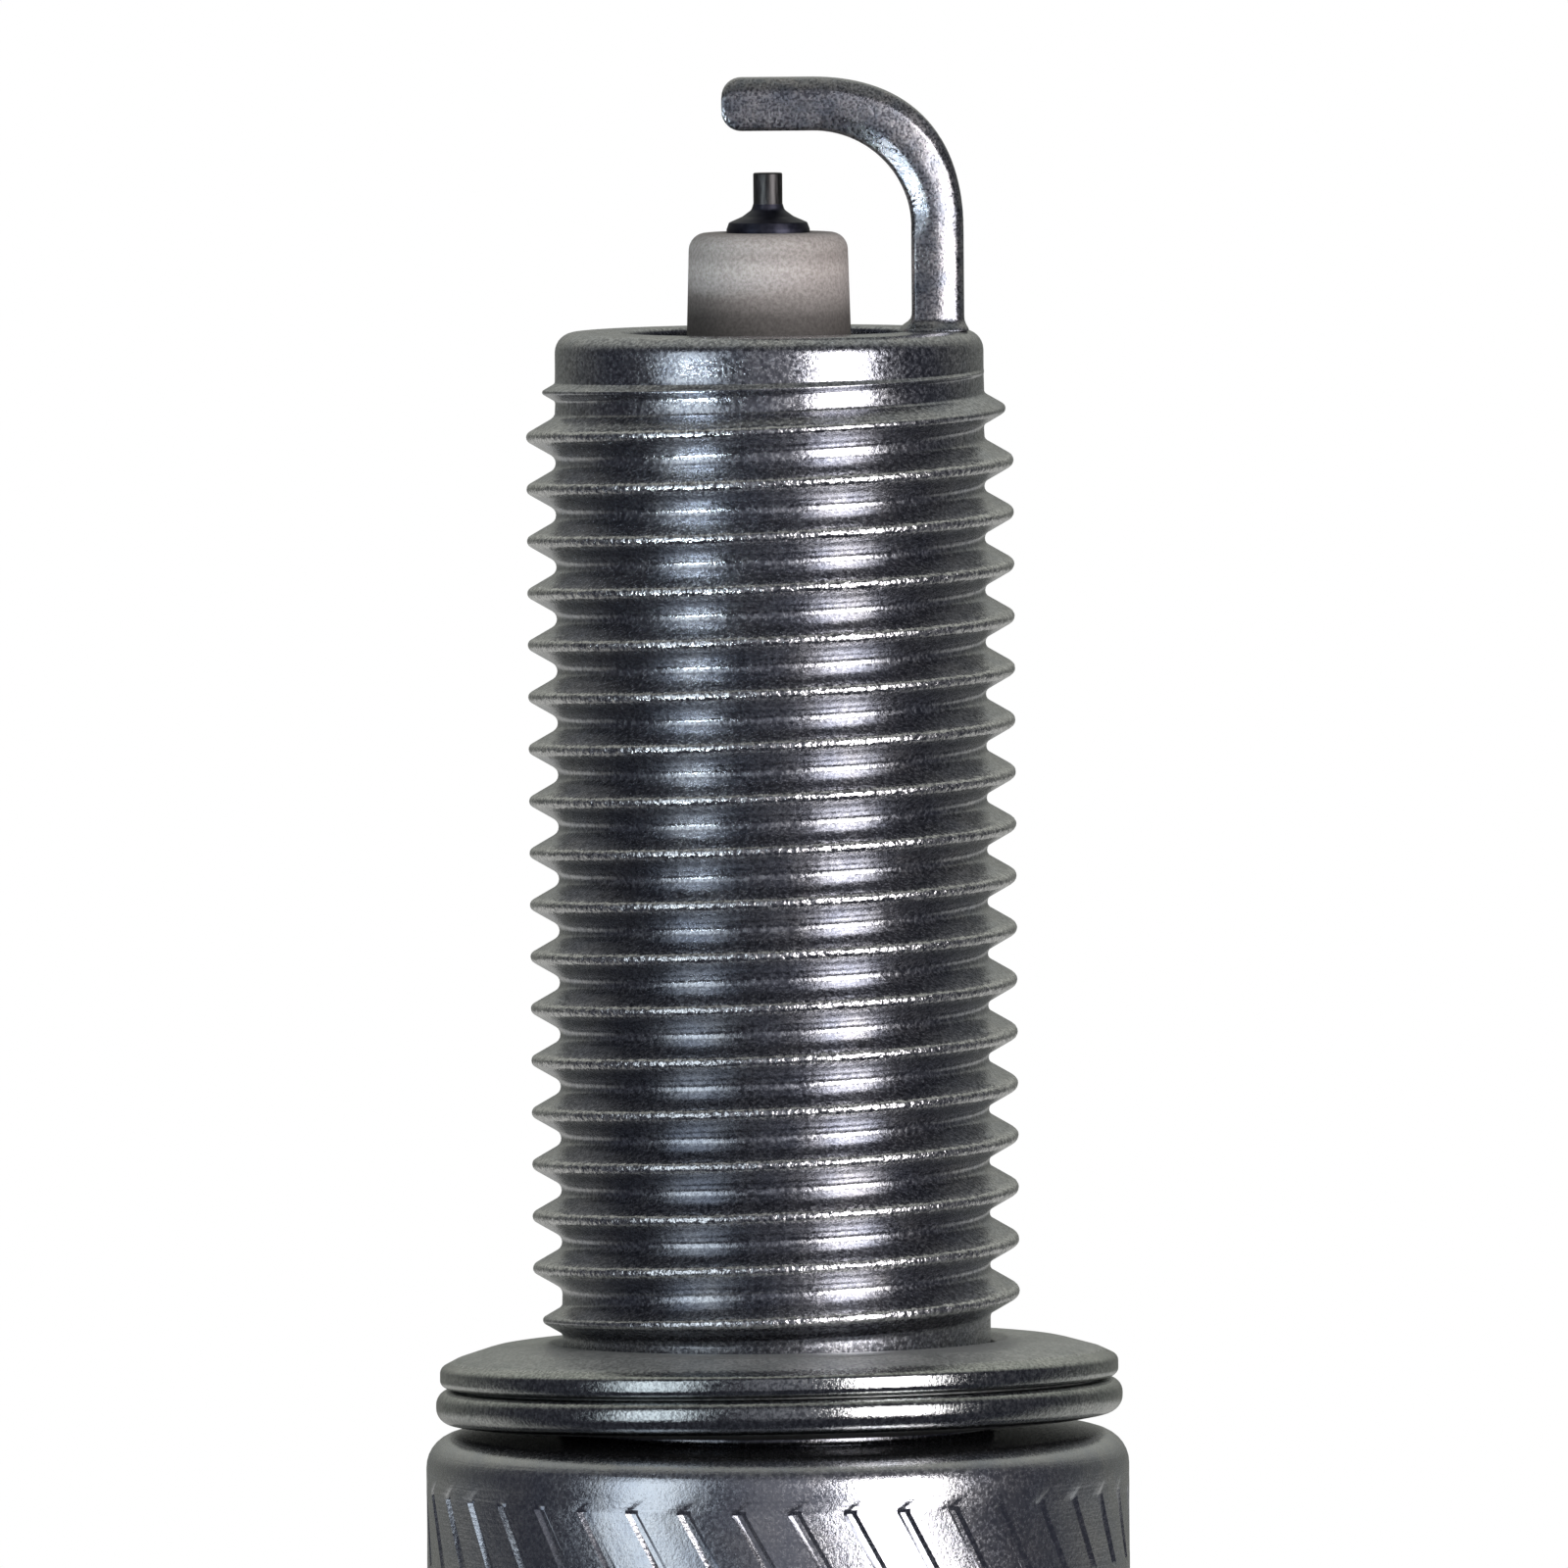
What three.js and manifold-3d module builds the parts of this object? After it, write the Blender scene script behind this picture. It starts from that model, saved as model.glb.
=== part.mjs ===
// Spark plug: M12 x 1.25 thread, 26.5 mm reach, 14 mm hexagon, fine-wire centre electrode,
// built-in resistor and a removable terminal nut.
//
// Millimetres, +Z up. The origin is on the plug's axis, in the plane of the shell's gasket seat.
// +Z runs to the firing end, -Z to the terminal, and +X points to the ground electrode's leg.

import * as THREE from "three";
import { mergeVertices } from "three/addons/utils/BufferGeometryUtils.js";
import Module from "manifold-3d";

const wasm = await Module();
wasm.setup();

// ---------------------------------------------------------------- driving dimensions

const SIDES = 24; // facets round every turned piece, so that nested pieces have parallel facets
const FIT = 0.05; // gap between a piece and the one it is held in

const REACH = 26.5; // gasket seat to the shell's firing-end face
const TERMINAL_END = -50.5; // gasket seat to the end of the terminal nut
const SPARK_GAP = 1.03;

const shellThread = {
  pitch: 1.25,
  major: 5.87,
  root: 5.15,
  first: 2.11, // height of the crest line where the thread starts, at +X
  turns: 19,
  fadeIn: 0.75, // turns over which the thread grows out of the neck
  fadeOut: 0.6, // turns over which it fades into the pilot
  crest: 0.07, // half width of the crest, as a share of the pitch
  foot: 0.36, // half width of the tooth at its root, as a share of the pitch
  cone: { height: 24, radius: 5.86, fall: 0.325 }, // cuts the first turns down to the pilot
};

const studThread = {
  pitch: 0.7,
  major: 1.96,
  root: 1.58,
  first: TERMINAL_END + 1.35,
  turns: 8,
  fadeIn: 0.5,
  fadeOut: 0.5,
  crest: 0.04,
  foot: 0.38,
  cone: { height: 0, radius: 9, fall: 0 },
};

const shell = {
  face: 4.8, // outer radius of the flat firing-end face
  bore: 3.5, // round the insulator's nose
  ledge: 3.1, // throat that the insulator's seat bears on
  ledgeTop: 15.4,
  ledgeBottom: 14.4,
  body: 4.05, // round the insulator's middle
  cavity: 5.45, // round the insulator's flange and the powder
  cavityTop: -1.6,
  barrel: 8.46,
  barrelCorner: 1.13,
  barrelBottom: -8.3,
  groove: 6.35, // thin ring between barrel and hexagon
  hexTop: -10.8,
  hexBottom: -17.3,
  hexFlats: 14,
  collar: 6.55, // the rim that is rolled over the powder
  lip: 4.75,
  lipBottom: -19.65,
};

const insulator = {
  tip: REACH + 2.37,
  tipRadius: 1.9,
  noseFoot: 2.75,
  noseMiddle: { radius: 2.35, height: 21.5 },
  noseAtFace: 1.97, // radius where the nose comes out of the shell
  body: 3.9,
  flange: 5.35,
  flangeTop: -3.35,
  flangeBottom: -13.6,
  neck: 4.4,
  end: -41,
  endRadius: 3.35,
  electrodeBore: 1.06,
  boreStep: 8.5, // height where the bore widens to the terminal side
  bore: 2,
  ribs: 5,
  ribPitch: 2.2,
  ribDepth: 0.45,
  ribTop: -23.4,
};

const electrode = {
  shaft: 1,
  shoulder: insulator.tip + 0.33, // top of the shaft, just proud of the insulator
  weld: insulator.tip + 0.68, // top of the tapered end, where the fine wire is welded on
  weldRadius: 0.39,
  wire: 0.35,
  wireTop: insulator.tip + 1.43,
  head: 1.75,
  headTop: 7.65,
  headBottom: 6.9,
  knob: 1.2,
  bottom: 5.6,
  core: 0.62,
  coreTop: 26,
};

const strap = {
  thickness: 1.25,
  width: 2.4,
  legOuter: 4.69, // distance from the axis to the leg's outer face
  bendInner: 2.36,
  tip: -1.1, // where the strap ends, past the axis
  tipCorner: 0.42,
  edge: 0.35, // rounding of its long edges
};

const gasket = { bore: 5.22, outer: 8.27, crown: 2.17, crownInner: 5.98, crownOuter: 6.4 };

const fill = {
  lowerSealBottom: 2.5,
  resistorBottom: -7.5,
  upperSealBottom: -12.5,
  radius: insulator.bore - FIT,
};

const packing = {
  wire: 0.42, // section radius of the two rings beside the powder
  ringRadius: 4.93,
  lowerRing: -14.72,
  upperRing: -17.98,
  washerLow: 3.2,
  washerHigh: 3.85,
};

const stud = {
  shaft: 1.8,
  knurl: 1.45,
  knurlTop: -9.5,
  knurlBottom: -13,
  flange: 3,
  flangeThickness: 1,
};

const nut = {
  radius: 3.175,
  bore: 2.06,
  chamfer: 0.45,
  waist: 2.62,
  waistLow: TERMINAL_END + 4.4,
  waistHigh: TERMINAL_END + 5.6,
};

// ---------------------------------------------------------------- making solids

// A closed geometry as a manifold-3d solid.
function solid(geometry) {
  const bare = new THREE.BufferGeometry();
  bare.setAttribute("position", geometry.getAttribute("position"));
  bare.setIndex(geometry.index);
  const merged = mergeVertices(bare, 1e-4);
  const corners = merged.index.array;
  const triVerts = [];
  for (let i = 0; i < corners.length; i += 3) {
    const face = corners.slice(i, i + 3);
    if (new Set(face).size === 3) triVerts.push(...face);
  }
  return new wasm.Manifold(
    new wasm.Mesh({
      numProp: 3,
      vertProperties: merged.attributes.position.array,
      triVerts: new Uint32Array(triVerts),
    }),
  );
}

// A manifold-3d solid as a geometry, with flat shading.
function geometryOf(made) {
  const mesh = made.getMesh();
  const geometry = new THREE.BufferGeometry();
  geometry.setAttribute("position", new THREE.BufferAttribute(mesh.vertProperties, mesh.numProp));
  geometry.setIndex(new THREE.BufferAttribute(mesh.triVerts, 1));
  const flat = geometry.toNonIndexed();
  flat.computeVertexNormals();
  return flat;
}

// Turns a profile of [radius, height] points about Z. The profile runs up on its outer side. It
// starts and ends on the axis, or it closes on itself, for a ring.
function turned(profile) {
  const ring = profile.every(([radius]) => radius > 0);
  const points = [...profile, ...(ring ? [profile[0]] : [])].map((p) => new THREE.Vector2(...p));
  return new THREE.LatheGeometry(points, SIDES).rotateX(Math.PI / 2);
}

// Points along an arc in the profile plane, from one angle to another in degrees.
function arc(radius, height, size, from, to, steps = 4) {
  return Array.from({ length: steps + 1 }, (_, i) => {
    const a = THREE.MathUtils.degToRad(from + ((to - from) * i) / steps);
    return [radius + size * Math.cos(a), height + size * Math.sin(a)];
  });
}

// A rod with a right-hand thread. One strip of teeth winds up it, and joins the strip of the
// turn below. Below and above are [radius, height] rings that carry the rod on to its two ends.
function threadedRod(thread, below, above) {
  const { pitch, major, root, first, turns, fadeIn, fadeOut, crest, foot, cone } = thread;
  const steps = SIDES * turns;
  const width = 4; // points across the tooth
  const depth = major - root;
  const flank = depth / ((foot - crest) * pitch); // rise of a flank for each unit along the axis
  const smallest = 0.15; // share of its size that the tooth keeps at its two ends
  const leadOut = 0.3; // rise of the root line over the turn that closes the thread's end
  const sliver = 0.02; // length of flank that is left where the cone takes the whole tooth
  const positions = [];
  const faces = [];

  const put = (radius, angle, height) => {
    positions.push(radius * Math.cos(angle), radius * Math.sin(angle), height);
    return positions.length / 3 - 1;
  };
  const angleOf = (i) => (2 * Math.PI * (i % SIDES)) / SIDES;
  const grown = (i) => {
    const turn = i / SIDES;
    return THREE.MathUtils.clamp(Math.min(turn / fadeIn, (turns - turn) / fadeOut), 0, 1);
  };
  const crestHeight = (i) =>
    first + (pitch * Math.min(i, steps) + leadOut * Math.max(i - steps, 0)) / SIDES;

  // The tooth from its lower foot to its upper one, as [distance along, height above the root].
  // The cone cuts it to a sloping crest, between the places where it meets the two flanks.
  const tooth = (i) => {
    const left = cone.radius - cone.fall * (crestHeight(i) - cone.height) - root;
    const over = Math.max(depth + flank * crest * pitch - Math.max(left, 0), flank * crest * pitch);
    const edge = (rise) => THREE.MathUtils.clamp(over / rise, crest * pitch, foot * pitch - sliver);
    const [low, high] = [edge(flank + cone.fall), edge(flank - cone.fall)];
    const cut = (along) => Math.max(Math.min(depth, left - cone.fall * along), 0);
    return [[-foot * pitch, 0], [-low, cut(-low)], [high, cut(high)], [foot * pitch, 0]];
  };

  const rows = Array.from({ length: steps + SIDES + 1 }, (_, i) => {
    const size = Math.max(grown(i), smallest);
    const points = i > steps ? tooth(i).slice(0, 1) : tooth(i);
    return points.map(([along, height]) =>
      put(root + height * grown(i), angleOf(i), crestHeight(i) + along * size),
    );
  });
  const at = (i, j) => (j < width ? rows[i][j] : rows[i + SIDES][0]);
  for (let i = 0; i < steps; i++)
    for (let j = 0; j < width; j++)
      faces.push([at(i, j), at(i + 1, j), at(i + 1, j + 1)], [at(i, j), at(i + 1, j + 1), at(i, j + 1)]);

  const ringOf = ([radius, height]) =>
    Array.from({ length: SIDES }, (_, i) => put(radius, angleOf(i), height));
  const band = (low, high) =>
    low.forEach((_, k) => {
      const next = (k + 1) % SIDES;
      faces.push([low[k], low[next], high[next]], [low[k], high[next], high[k]]);
    });
  const lowRings = below.map(ringOf);
  const highRings = above.map(ringOf);
  lowRings.slice(1).forEach((ring, k) => band(ring, lowRings[k]));
  highRings.slice(1).forEach((ring, k) => band(highRings[k], ring));

  // The strip's lower edge to the ring below it. Its last facet also meets the tooth's end.
  const base = lowRings[0];
  const edge = (i) => Array.from({ length: width + 1 }, (_, j) => at(i, j));
  for (let k = 0; k < SIDES; k++) {
    const next = (k + 1) % SIDES;
    const outline = k < SIDES - 1 ? [base[next], rows[k + 1][0]] : [base[next], ...edge(0)];
    [...outline, rows[k][0]].slice(1).forEach((v, n) => faces.push([base[k], outline[n], v]));
  }
  // The strip's upper edge to the ring above it, whose first facet meets the tooth's other end.
  const cap = highRings[0];
  for (let k = 0; k < SIDES; k++) {
    const next = (k + 1) % SIDES;
    const own = k ? [rows[steps + k][0]] : edge(steps).reverse();
    const outline = [cap[k], ...own, rows[steps + k + 1][0]];
    outline.slice(1).forEach((v, n) => faces.push([cap[next], outline[n], v]));
  }

  const lowCentre = put(0, 0, below.at(-1)[1]);
  const highCentre = put(0, 0, above.at(-1)[1]);
  const [lowest, highest] = [lowRings.at(-1), highRings.at(-1)];
  for (let k = 0; k < SIDES; k++) {
    const next = (k + 1) % SIDES;
    faces.push([lowCentre, lowest[next], lowest[k]], [highCentre, highest[k], highest[next]]);
  }

  const geometry = new THREE.BufferGeometry();
  geometry.setAttribute("position", new THREE.Float32BufferAttribute(positions, 3));
  geometry.setIndex(faces.flat());
  return geometry;
}

// ---------------------------------------------------------------- shell and gasket

// The hexagon, with its corners chamfered top and bottom. Two flats face along Y.
function hexagon() {
  const { hexTop, hexBottom, hexFlats } = shell;
  const corner = hexFlats / Math.sqrt(3);
  const chamfer = 0.55;
  const prism = new THREE.CylinderGeometry(corner, corner, hexTop - hexBottom, 6)
    .rotateX(Math.PI / 2)
    .rotateZ(Math.PI / 2)
    .translate(0, 0, (hexTop + hexBottom) / 2);
  const inside = hexFlats / 2 + 0.1;
  const envelope = turned([
    [0, hexBottom],
    [inside, hexBottom],
    [corner + 0.1, hexBottom + chamfer],
    [corner + 0.1, hexTop - chamfer],
    [inside, hexTop],
    [0, hexTop],
  ]);
  return solid(prism).intersect(solid(envelope));
}

// Barrel, the thin ring behind it and the rolled collar, all turned.
function shellBody() {
  const { barrel, barrelCorner, barrelBottom, groove, hexTop, hexBottom, collar, lipBottom } = shell;
  return solid(
    turned([
      [0, lipBottom],
      [shell.lip + 0.3, lipBottom],
      ...arc(collar - 1.45, lipBottom + 1.45, 1.45, -80, 0, 4),
      [collar, hexBottom],
      [groove, hexTop],
      [groove, barrelBottom - 1],
      [barrel - 0.55, barrelBottom - 0.45],
      [barrel, barrelBottom],
      ...arc(barrel - barrelCorner, -barrelCorner, barrelCorner, 0, 90),
      [0, 0],
    ]),
  );
}

// Everything that is bored out of the shell, from the crimped end to the firing end.
function shellBore() {
  const { lip, lipBottom, cavity, cavityTop, body, ledge, ledgeBottom, ledgeTop, bore } = shell;
  return solid(
    turned([
      [0, lipBottom - 1],
      [lip, lipBottom - 1],
      [lip, lipBottom + 0.7],
      [cavity - 0.1, lipBottom + 1.15],
      [cavity, lipBottom + 1.5],
      [cavity, cavityTop - (cavity - body)],
      [body, cavityTop],
      [body, ledgeBottom - (body - ledge)],
      [ledge, ledgeBottom],
      [ledge, ledgeTop],
      [bore, ledgeTop + (bore - ledge)],
      [bore, REACH + 1],
      [0, REACH + 1],
    ]),
  );
}

function makeShell() {
  const { root, first, pitch } = shellThread;
  const rim = root - 0.02 - shell.face;
  const threaded = solid(
    threadedRod(
      shellThread,
      [[root, first - 0.6 * pitch], [root, -1]],
      [[root, REACH - 0.24], ...arc(shell.face, REACH - rim, rim, 0, 90, 2)],
    ),
  );
  return geometryOf(shellBody().add(hexagon()).add(threaded).subtract(shellBore()));
}

// A folded sheet-metal gasket: a domed top with a flat crown just outside the thread, and two
// rolled lobes at its edge.
function makeGasket() {
  const { bore, outer, crown, crownInner, crownOuter } = gasket;
  return turned([
    [bore, 0.35],
    [bore + 0.4, 0.1],
    [6.2, FIT],
    [6.9, FIT],
    [7.4, 0.18],
    [7.95, 0.4],
    ...arc(outer - 0.3, 0.64, 0.3, -50, 70, 4),
    [outer - 0.28, 1],
    ...arc(outer - 0.29, 1.28, 0.2, -60, 60, 3),
    [7.75, 1.72],
    [7.3, 1.9],
    [6.7, 2.07],
    [crownOuter, crown],
    [crownInner, crown],
    [bore + 0.23, crown - 0.04],
    [bore, crown - 0.16],
  ]);
}

// ---------------------------------------------------------------- insulator and electrodes

function makeInsulator() {
  const { tip, tipRadius, noseFoot, noseMiddle, noseAtFace, body } = insulator;
  const { flange, flangeTop, flangeBottom, neck } = insulator;
  const { end, endRadius, electrodeBore, boreStep, bore, ribs, ribPitch, ribDepth, ribTop } = insulator;
  const tipCorner = 0.34;
  const seat = shell.ledgeBottom - 0.5; // height of the 45 degree seat at the throat's radius
  const grooves = [];
  for (let i = ribs - 1; i >= 0; i--) {
    const middle = ribTop - i * ribPitch;
    grooves.push(
      [neck, middle - 0.8],
      [neck - ribDepth, middle - 0.35],
      [neck - ribDepth, middle + 0.35],
      [neck, middle + 0.8],
    );
  }
  return turned([
    [bore, end],
    [endRadius, end],
    [endRadius + 0.35, end + 0.35],
    [neck - 0.35, ribTop - ribs * ribPitch - 0.4],
    ...grooves,
    [neck, flangeBottom - (flange - neck)],
    [flange, flangeBottom],
    [flange, flangeTop],
    [body, flangeTop + (flange - body)],
    [body, seat - (body - shell.ledge)],
    [noseFoot, seat - (noseFoot - shell.ledge)],
    [noseMiddle.radius, noseMiddle.height],
    [noseAtFace, REACH],
    ...arc(tipRadius - tipCorner, tip - tipCorner, tipCorner, 0, 90, 3),
    [electrodeBore, tip],
    [electrodeBore, boreStep],
    [bore, boreStep - (bore - electrodeBore)],
  ]);
}

// The nickel sheath, open at its head for the copper core, with a tapered end for the fine wire.
function makeCentreElectrode() {
  const { shaft, shoulder, weld, weldRadius, head, headTop, headBottom, knob, bottom } = electrode;
  const hole = electrode.core + 0.03;
  return turned([
    [0, electrode.coreTop + FIT],
    [hole, electrode.coreTop + FIT],
    [hole, bottom],
    [knob, bottom],
    [knob, headBottom],
    [head, headBottom],
    [head, headTop],
    [shaft, headTop + (head - shaft)],
    [shaft, shoulder - 0.07],
    [shaft - 0.06, shoulder],
    [0.66, weld - 0.24],
    [0.46, weld - 0.12],
    [weldRadius, weld],
    [0, weld],
  ]);
}

function makeIridiumTip() {
  const { weld, wire, wireTop } = electrode;
  return turned([[0, weld + 0.03], [wire, weld + 0.03], [wire, wireTop], [0, wireTop]]);
}

function makeCopperCore() {
  const { bottom, core, coreTop } = electrode;
  const low = bottom + FIT;
  return turned([[0, low], [core, low], [core, coreTop - 0.6], [0.25, coreTop], [0, coreTop]]);
}

// The J-shaped strap: its side view, extruded to its width with rounded edges, and cut off flat
// where it is welded to the shell.
function makeGroundElectrode() {
  const { thickness, width, legOuter, bendInner, tip, tipCorner, edge } = strap;
  const inner = legOuter - thickness;
  const underside = electrode.wireTop + SPARK_GAP;
  const bendX = inner - bendInner;
  const bendZ = underside - bendInner;
  const foot = REACH - 1;
  const top = underside + thickness;
  const side = new THREE.Shape();
  side.moveTo(legOuter, foot);
  side.lineTo(legOuter, bendZ);
  side.absarc(bendX, bendZ, bendInner + thickness, 0, Math.PI / 2);
  side.lineTo(tip + tipCorner, top);
  side.absarc(tip + tipCorner, top - tipCorner, tipCorner, Math.PI / 2, Math.PI);
  side.lineTo(tip, underside + tipCorner);
  side.absarc(tip + tipCorner, underside + tipCorner, tipCorner, Math.PI, 1.5 * Math.PI);
  side.lineTo(bendX, underside);
  side.absarc(bendX, bendZ, bendInner, Math.PI / 2, 0, true);
  side.lineTo(inner, foot);
  const bar = new THREE.ExtrudeGeometry(side, {
    depth: width - 2 * edge,
    curveSegments: 8,
    bevelEnabled: true,
    bevelThickness: edge,
    bevelSize: edge,
    bevelOffset: -edge,
    bevelSegments: 2,
  })
    .rotateX(Math.PI / 2)
    .translate(0, width / 2 - edge, 0);
  const below = new THREE.BoxGeometry(20, 20, 10).translate(0, 0, REACH + FIT - 5);
  return geometryOf(solid(bar).subtract(solid(below)));
}

// ---------------------------------------------------------------- pieces inside

// A conical washer between the insulator's 45 degree seat and the shell's throat.
function makeSeatWasher() {
  const { washerLow, washerHigh } = packing;
  const line = (radius, drop) => [radius, shell.ledgeBottom - (radius - shell.ledge) - drop];
  return turned([
    line(washerLow, 0.43),
    line(washerHigh, 0.43),
    line(washerHigh, 0.07),
    line(washerLow, 0.07),
  ]);
}

function makeWireRing(height) {
  return turned(arc(packing.ringRadius, height, packing.wire, 0, 360, 8).slice(0, -1));
}

function makeTalc() {
  const low = packing.upperRing + packing.wire + FIT;
  const high = packing.lowerRing - packing.wire - FIT;
  const [inner, outer] = [insulator.neck + FIT, shell.cavity - FIT];
  return turned([[inner, low], [outer, low], [outer, high], [inner, high]]);
}

// Glass round the centre electrode's knob.
function makeLowerSeal() {
  const { headBottom, knob, bottom } = electrode;
  return turned([
    [0, fill.lowerSealBottom],
    [fill.radius, fill.lowerSealBottom],
    [fill.radius, headBottom - FIT],
    [knob + FIT, headBottom - FIT],
    [knob + FIT, bottom - FIT],
    [0, bottom - FIT],
  ]);
}

function makeResistor() {
  const [low, high] = [fill.resistorBottom, fill.lowerSealBottom - FIT];
  return turned([[0, low], [fill.radius, low], [fill.radius, high], [0, high]]);
}

// Glass round the terminal stud's knurled end.
function makeUpperSeal() {
  const top = fill.resistorBottom - FIT;
  const pocket = stud.knurlTop + FIT;
  return turned([
    [0, pocket],
    [stud.knurl + FIT, pocket],
    [stud.knurl + FIT, fill.upperSealBottom],
    [fill.radius, fill.upperSealBottom],
    [fill.radius, top],
    [0, top],
  ]);
}

// ---------------------------------------------------------------- terminal

// The steel stud: knurled end, shaft, flange on the insulator, and an M4 thread for the nut.
function makeTerminalStud() {
  const { shaft, knurl, knurlTop, knurlBottom, flange, flangeThickness } = stud;
  const flangeTop = insulator.end - FIT;
  const flangeBottom = flangeTop - flangeThickness;
  const rings = [];
  for (let z = knurlBottom + 0.3; z < knurlTop - 0.6; z += 0.7)
    rings.push([knurl - 0.15, z], [knurl, z + 0.2], [knurl, z + 0.5]);
  const turnedPart = turned([
    [0, flangeBottom],
    [flange - 0.2, flangeBottom],
    [flange, flangeBottom + 0.2],
    [flange, flangeTop],
    [shaft, flangeTop],
    [shaft, knurlBottom],
    ...rings,
    [knurl - 0.2, knurlTop],
    [0, knurlTop],
  ]);
  const { root, first } = studThread;
  const threaded = threadedRod(
    studThread,
    [[root, first - 0.45], [root - 0.25, first - 0.7]],
    [[root, flangeBottom + 0.5]],
  );
  return geometryOf(solid(turnedPart).add(solid(threaded)));
}

// The waisted nut that the plug cap's contact snaps over.
function makeTerminalNut() {
  const { radius, bore, chamfer, waist, waistLow, waistHigh } = nut;
  const top = insulator.end - FIT - stud.flangeThickness - FIT;
  return turned([
    [bore, TERMINAL_END],
    [radius - chamfer - 0.2, TERMINAL_END],
    [radius, TERMINAL_END + chamfer + 0.35],
    [radius, waistLow - 0.8],
    [waist, waistLow],
    [waist, waistHigh],
    [radius, waistHigh + 0.6],
    [radius, top - 0.25],
    [radius - 0.25, top],
    [bore, top],
  ]);
}

// ---------------------------------------------------------------- the assembly

const metal = (color, roughness) =>
  new THREE.MeshStandardMaterial({ color, roughness, metalness: 1 });
const mineral = (color, roughness) =>
  new THREE.MeshStandardMaterial({ color, roughness, metalness: 0 });

const materials = {
  plating: metal(0x9a9ba1, 0.28),
  gasket: metal(0x8d8f8f, 0.34),
  nickel: metal(0x83858c, 0.36),
  darkNickel: metal(0x3b3a3c, 0.5),
  iridium: metal(0x4a494b, 0.45),
  copper: metal(0xb36a45, 0.35),
  steel: metal(0x8f8f92, 0.4),
  ceramic: mineral(0xe9e6e0, 0.35),
  talc: mineral(0xd9d6cf, 0.95),
  glass: mineral(0x5d5348, 0.25),
  carbon: mineral(0x2a2928, 0.8),
};

const pieces = {
  shell: [makeShell(), materials.plating],
  gasket: [makeGasket(), materials.gasket],
  insulator: [makeInsulator(), materials.ceramic],
  ground_electrode: [makeGroundElectrode(), materials.nickel],
  centre_electrode: [makeCentreElectrode(), materials.darkNickel],
  copper_core: [makeCopperCore(), materials.copper],
  iridium_tip: [makeIridiumTip(), materials.iridium],
  seat_packing_washer: [makeSeatWasher(), materials.steel],
  packing_ring_lower: [makeWireRing(packing.lowerRing), materials.steel],
  talc_packing: [makeTalc(), materials.talc],
  packing_ring_upper: [makeWireRing(packing.upperRing), materials.steel],
  glass_seal_lower: [makeLowerSeal(), materials.glass],
  resistor: [makeResistor(), materials.carbon],
  glass_seal_upper: [makeUpperSeal(), materials.glass],
  terminal_stud: [makeTerminalStud(), materials.steel],
  terminal_nut: [makeTerminalNut(), materials.plating],
};

const plug = new THREE.Group();
for (const [name, [geometry, material]] of Object.entries(pieces)) {
  const mesh = new THREE.Mesh(geometry, material);
  mesh.name = name;
  plug.add(mesh);
}

export default plug;
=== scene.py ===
"""Spark plug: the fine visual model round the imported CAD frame, with its studio and camera.

Lengths are in millimetres until mesh_piece(), the camera and the lights turn them into metres.
"""

import math

import bpy
from mathutils import Matrix, Vector, noise


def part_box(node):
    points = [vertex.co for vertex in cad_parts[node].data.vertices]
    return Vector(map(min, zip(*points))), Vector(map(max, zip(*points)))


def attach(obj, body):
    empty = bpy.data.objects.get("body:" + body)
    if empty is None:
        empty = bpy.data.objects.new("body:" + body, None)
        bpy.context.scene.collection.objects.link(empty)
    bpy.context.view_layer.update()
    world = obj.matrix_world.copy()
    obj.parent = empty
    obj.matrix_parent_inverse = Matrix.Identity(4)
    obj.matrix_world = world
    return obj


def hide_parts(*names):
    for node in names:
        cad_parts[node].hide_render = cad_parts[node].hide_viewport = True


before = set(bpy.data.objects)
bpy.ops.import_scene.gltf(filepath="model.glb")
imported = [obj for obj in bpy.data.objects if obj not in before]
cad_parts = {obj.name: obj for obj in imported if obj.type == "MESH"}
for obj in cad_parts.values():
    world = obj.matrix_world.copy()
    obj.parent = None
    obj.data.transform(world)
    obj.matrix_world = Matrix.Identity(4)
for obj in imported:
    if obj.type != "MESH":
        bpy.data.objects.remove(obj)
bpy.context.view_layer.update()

MM = 0.001


def node_box(node):
    """A CAD node's lowest and highest corners, in millimetres."""
    low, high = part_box(node)
    return low / MM, high / MM


# ---------------------------------------------------------------- sizes

SHELL_LOW, SHELL_HIGH = node_box("shell")
REACH = SHELL_HIGH.z  # firing-end face above the gasket seat
LIP_BOTTOM = SHELL_LOW.z
BARREL = SHELL_HIGH.x
INSULATOR_LOW, INSULATOR_HIGH = node_box("insulator")
NOSE_TOP = INSULATOR_HIGH.z
STRAP_LOW, STRAP_HIGH = node_box("ground_electrode")
WIRE_HIGH = node_box("iridium_tip")[1]
ELECTRODE_LOW, ELECTRODE_HIGH = node_box("centre_electrode")
GASKET_HIGH = node_box("gasket")[1]
NUT_LOW, NUT_HIGH = node_box("terminal_nut")
STUD_LOW, STUD_HIGH = node_box("terminal_stud")

GASKET_AROUND = 192  # segments round the gasket
AROUND = 240  # segments round the shell
MARK_COLUMNS = (-0.17, -0.06, 0.06, 0.17, 0.5, 0.84)  # round the barrel from a mark's middle

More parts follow.
